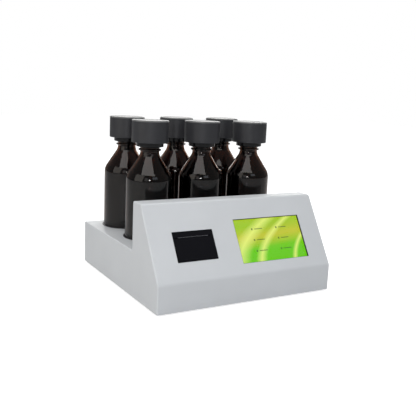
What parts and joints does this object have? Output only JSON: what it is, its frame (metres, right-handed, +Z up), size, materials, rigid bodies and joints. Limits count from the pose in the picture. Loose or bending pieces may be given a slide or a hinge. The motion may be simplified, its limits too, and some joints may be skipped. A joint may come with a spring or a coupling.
{
  "type": "biochemical oxygen demand analyzer",
  "caption": "Bench analyzer with amber sample bottles under screw-on pressure heads on a sheet-metal stirring base with a sloping touch screen and a small paper printer.",
  "frame": {"origin": "on the bench, under the middle of the casing", "axes": "+X to the right seen from the front panel, +Y to the back, +Z up"},
  "size_m": [0.376, 0.37, 0.32],
  "materials": {
    "case_paint": "satin light grey powder coat",
    "zinc_sheet": "zinc plated sheet",
    "foot_rubber": "matte rubber",
    "screw_steel": "plated screws and nuts",
    "seat_black": "moulded black plastic",
    "motor_steel": "drawn steel can",
    "screen_glass": "clear cover glass",
    "display_face": "lit green display in a dark metal case",
    "circuit_board": "green circuit board with parts",
    "cable_grey": "flat grey cable",
    "supply_case": "perforated sheet case",
    "printer_black": "glossy black moulding",
    "print_steel": "bright tear bar and head",
    "roller_rubber": "ground black rubber",
    "paper_white": "smooth white paper",
    "connector_black": "moulded black plastic",
    "rocker_black": "moulded black plastic",
    "port_metal": "tinned shell",
    "amber_glass": "very dark amber glass",
    "cup_rubber": "soft black rubber",
    "head_plastic": "charcoal moulded plastic",
    "cover_plastic": "matte moulded cover",
    "stir_white": "smooth white coating",
    "rotor_metal": "turned hub with plated magnets"
  },
  "bodies": {
    "root": {"top_cover": "case_paint", "base_plate": "zinc_sheet", "rear_panel": "case_paint", "feet": "foot_rubber", "fasteners": "screw_steel", "bottle_seats": "seat_black", "stir_motors": "motor_steel", "motor_brackets": "zinc_sheet", "screen_gasket": "foot_rubber", "touch_glass": "screen_glass", "display_module": "display_face", "display_board": "circuit_board", "main_board": "circuit_board", "ribbon_cable": "cable_grey", "power_supply": "supply_case", "printer_body": "printer_black", "print_head": "print_steel", "power_inlet": "connector_black", "power_switch": "connector_black", "data_port": "port_metal"},
    "printer_door": {"printer_door": "printer_black"},
    "platen": {"platen_roller": "roller_rubber"},
    "paper": {"paper_roll": "paper_white"},
    "rocker": {"switch_rocker": "rocker_black"},
    "bottle_1": {"bottle_1": "amber_glass"},
    "cup_1": {"alkali_cup_1": "cup_rubber"},
    "head_1": {"head_shell_1": "head_plastic", "sensor_module_1": "cover_plastic"},
    "stir_bar_1": {"stir_bar_1": "stir_white"},
    "rotor_1": {"rotor_1": "rotor_metal"},
    "bottle_2": {"bottle_2": "amber_glass"},
    "cup_2": {"alkali_cup_2": "cup_rubber"},
    "head_2": {"head_shell_2": "head_plastic", "sensor_module_2": "cover_plastic"},
    "stir_bar_2": {"stir_bar_2": "stir_white"},
    "rotor_2": {"rotor_2": "rotor_metal"},
    "bottle_3": {"bottle_3": "amber_glass"},
    "cup_3": {"alkali_cup_3": "cup_rubber"},
    "head_3": {"head_shell_3": "head_plastic", "sensor_module_3": "cover_plastic"},
    "stir_bar_3": {"stir_bar_3": "stir_white"},
    "rotor_3": {"rotor_3": "rotor_metal"},
    "bottle_4": {"bottle_4": "amber_glass"},
    "cup_4": {"alkali_cup_4": "cup_rubber"},
    "head_4": {"head_shell_4": "head_plastic", "sensor_module_4": "cover_plastic"},
    "stir_bar_4": {"stir_bar_4": "stir_white"},
    "rotor_4": {"rotor_4": "rotor_metal"},
    "bottle_5": {"bottle_5": "amber_glass"},
    "cup_5": {"alkali_cup_5": "cup_rubber"},
    "head_5": {"head_shell_5": "head_plastic", "sensor_module_5": "cover_plastic"},
    "stir_bar_5": {"stir_bar_5": "stir_white"},
    "rotor_5": {"rotor_5": "rotor_metal"},
    "bottle_6": {"bottle_6": "amber_glass"},
    "cup_6": {"alkali_cup_6": "cup_rubber"},
    "head_6": {"head_shell_6": "head_plastic", "sensor_module_6": "cover_plastic"},
    "stir_bar_6": {"stir_bar_6": "stir_white"},
    "rotor_6": {"rotor_6": "rotor_metal"}
  },
  "joints": [
    {"name": "printer_door_hinge", "type": "hinge", "parent": "root", "child": "printer_door", "pos_m": [-0.0995, -0.16185, 0.08914], "axis": [1, 0, 0], "range_deg": [0, 90]},
    {"name": "paper_roll_spin", "type": "hinge", "parent": "root", "child": "paper", "pos_m": [-0.0995, -0.1311, 0.08839], "axis": [1, 0, 0], "continuous": true},
    {"name": "platen_spin", "type": "hinge", "parent": "printer_door", "child": "platen", "pos_m": [-0.0995, -0.13826, 0.11474], "axis": [1, 0, 0], "continuous": true},
    {"name": "power_rocker", "type": "hinge", "parent": "root", "child": "rocker", "pos_m": [0.104, 0.18, 0.047], "axis": [-1, 0, 0], "range_deg": [0, 20]},
    {"name": "bottle_1_lift", "type": "slide", "parent": "root", "child": "bottle_1", "axis": [0, 0, 1], "range_m": [0, 0.24]},
    {"name": "head_1_lift", "type": "slide", "parent": "bottle_1", "child": "cup_1", "axis": [0, 0, 1], "range_m": [0, 0.075]},
    {"name": "head_1_turn", "type": "hinge", "parent": "cup_1", "child": "head_1", "pos_m": [-0.1155, 0.017, 0.294], "axis": [0, 0, 1], "range_deg": [0, 540]},
    {"name": "stirrer_1_spin", "type": "hinge", "parent": "root", "child": "rotor_1", "pos_m": [-0.1155, 0.017, 0.0715], "axis": [0, 0, 1], "continuous": true},
    {"name": "stir_bar_1_spin", "type": "hinge", "parent": "bottle_1", "child": "stir_bar_1", "pos_m": [-0.1155, 0.017, 0.0899], "axis": [0, 0, 1], "continuous": true},
    {"name": "bottle_2_lift", "type": "slide", "parent": "root", "child": "bottle_2", "axis": [0, 0, 1], "range_m": [0, 0.24]},
    {"name": "head_2_lift", "type": "slide", "parent": "bottle_2", "child": "cup_2", "axis": [0, 0, 1], "range_m": [0, 0.075]},
    {"name": "head_2_turn", "type": "hinge", "parent": "cup_2", "child": "head_2", "pos_m": [0, 0.017, 0.294], "axis": [0, 0, 1], "range_deg": [0, 540]},
    {"name": "stirrer_2_spin", "type": "hinge", "parent": "root", "child": "rotor_2", "pos_m": [0, 0.017, 0.0715], "axis": [0, 0, 1], "continuous": true},
    {"name": "stir_bar_2_spin", "type": "hinge", "parent": "bottle_2", "child": "stir_bar_2", "pos_m": [0, 0.017, 0.0899], "axis": [0, 0, 1], "continuous": true},
    {"name": "bottle_3_lift", "type": "slide", "parent": "root", "child": "bottle_3", "axis": [0, 0, 1], "range_m": [0, 0.24]},
    {"name": "head_3_lift", "type": "slide", "parent": "bottle_3", "child": "cup_3", "axis": [0, 0, 1], "range_m": [0, 0.075]},
    {"name": "head_3_turn", "type": "hinge", "parent": "cup_3", "child": "head_3", "pos_m": [0.1155, 0.017, 0.294], "axis": [0, 0, 1], "range_deg": [0, 540]},
    {"name": "stirrer_3_spin", "type": "hinge", "parent": "root", "child": "rotor_3", "pos_m": [0.1155, 0.017, 0.0715], "axis": [0, 0, 1], "continuous": true},
    {"name": "stir_bar_3_spin", "type": "hinge", "parent": "bottle_3", "child": "stir_bar_3", "pos_m": [0.1155, 0.017, 0.0899], "axis": [0, 0, 1], "continuous": true},
    {"name": "bottle_4_lift", "type": "slide", "parent": "root", "child": "bottle_4", "axis": [0, 0, 1], "range_m": [0, 0.24]},
    {"name": "head_4_lift", "type": "slide", "parent": "bottle_4", "child": "cup_4", "axis": [0, 0, 1], "range_m": [0, 0.075]},
    {"name": "head_4_turn", "type": "hinge", "parent": "cup_4", "child": "head_4", "pos_m": [-0.1155, 0.132, 0.294], "axis": [0, 0, 1], "range_deg": [0, 540]},
    {"name": "stirrer_4_spin", "type": "hinge", "parent": "root", "child": "rotor_4", "pos_m": [-0.1155, 0.132, 0.0715], "axis": [0, 0, 1], "continuous": true},
    {"name": "stir_bar_4_spin", "type": "hinge", "parent": "bottle_4", "child": "stir_bar_4", "pos_m": [-0.1155, 0.132, 0.0899], "axis": [0, 0, 1], "continuous": true},
    {"name": "bottle_5_lift", "type": "slide", "parent": "root", "child": "bottle_5", "axis": [0, 0, 1], "range_m": [0, 0.24]},
    {"name": "head_5_lift", "type": "slide", "parent": "bottle_5", "child": "cup_5", "axis": [0, 0, 1], "range_m": [0, 0.075]},
    {"name": "head_5_turn", "type": "hinge", "parent": "cup_5", "child": "head_5", "pos_m": [0, 0.132, 0.294], "axis": [0, 0, 1], "range_deg": [0, 540]},
    {"name": "stirrer_5_spin", "type": "hinge", "parent": "root", "child": "rotor_5", "pos_m": [0, 0.132, 0.0715], "axis": [0, 0, 1], "continuous": true},
    {"name": "stir_bar_5_spin", "type": "hinge", "parent": "bottle_5", "child": "stir_bar_5", "pos_m": [0, 0.132, 0.0899], "axis": [0, 0, 1], "continuous": true},
    {"name": "bottle_6_lift", "type": "slide", "parent": "root", "child": "bottle_6", "axis": [0, 0, 1], "range_m": [0, 0.24]},
    {"name": "head_6_lift", "type": "slide", "parent": "bottle_6", "child": "cup_6", "axis": [0, 0, 1], "range_m": [0, 0.075]},
    {"name": "head_6_turn", "type": "hinge", "parent": "cup_6", "child": "head_6", "pos_m": [0.1155, 0.132, 0.294], "axis": [0, 0, 1], "range_deg": [0, 540]},
    {"name": "stirrer_6_spin", "type": "hinge", "parent": "root", "child": "rotor_6", "pos_m": [0.1155, 0.132, 0.0715], "axis": [0, 0, 1], "continuous": true},
    {"name": "stir_bar_6_spin", "type": "hinge", "parent": "bottle_6", "child": "stir_bar_6", "pos_m": [0.1155, 0.132, 0.0899], "axis": [0, 0, 1], "continuous": true}
  ],
  "couplings": [
    {"joint": "platen_spin", "follows": "paper_roll_spin", "ratio": -3.75},
    {"joint": "stir_bar_1_spin", "follows": "stirrer_1_spin", "ratio": 1},
    {"joint": "stir_bar_2_spin", "follows": "stirrer_2_spin", "ratio": 1},
    {"joint": "stir_bar_3_spin", "follows": "stirrer_3_spin", "ratio": 1},
    {"joint": "stir_bar_4_spin", "follows": "stirrer_4_spin", "ratio": 1},
    {"joint": "stir_bar_5_spin", "follows": "stirrer_5_spin", "ratio": 1},
    {"joint": "stir_bar_6_spin", "follows": "stirrer_6_spin", "ratio": 1}
  ]
}
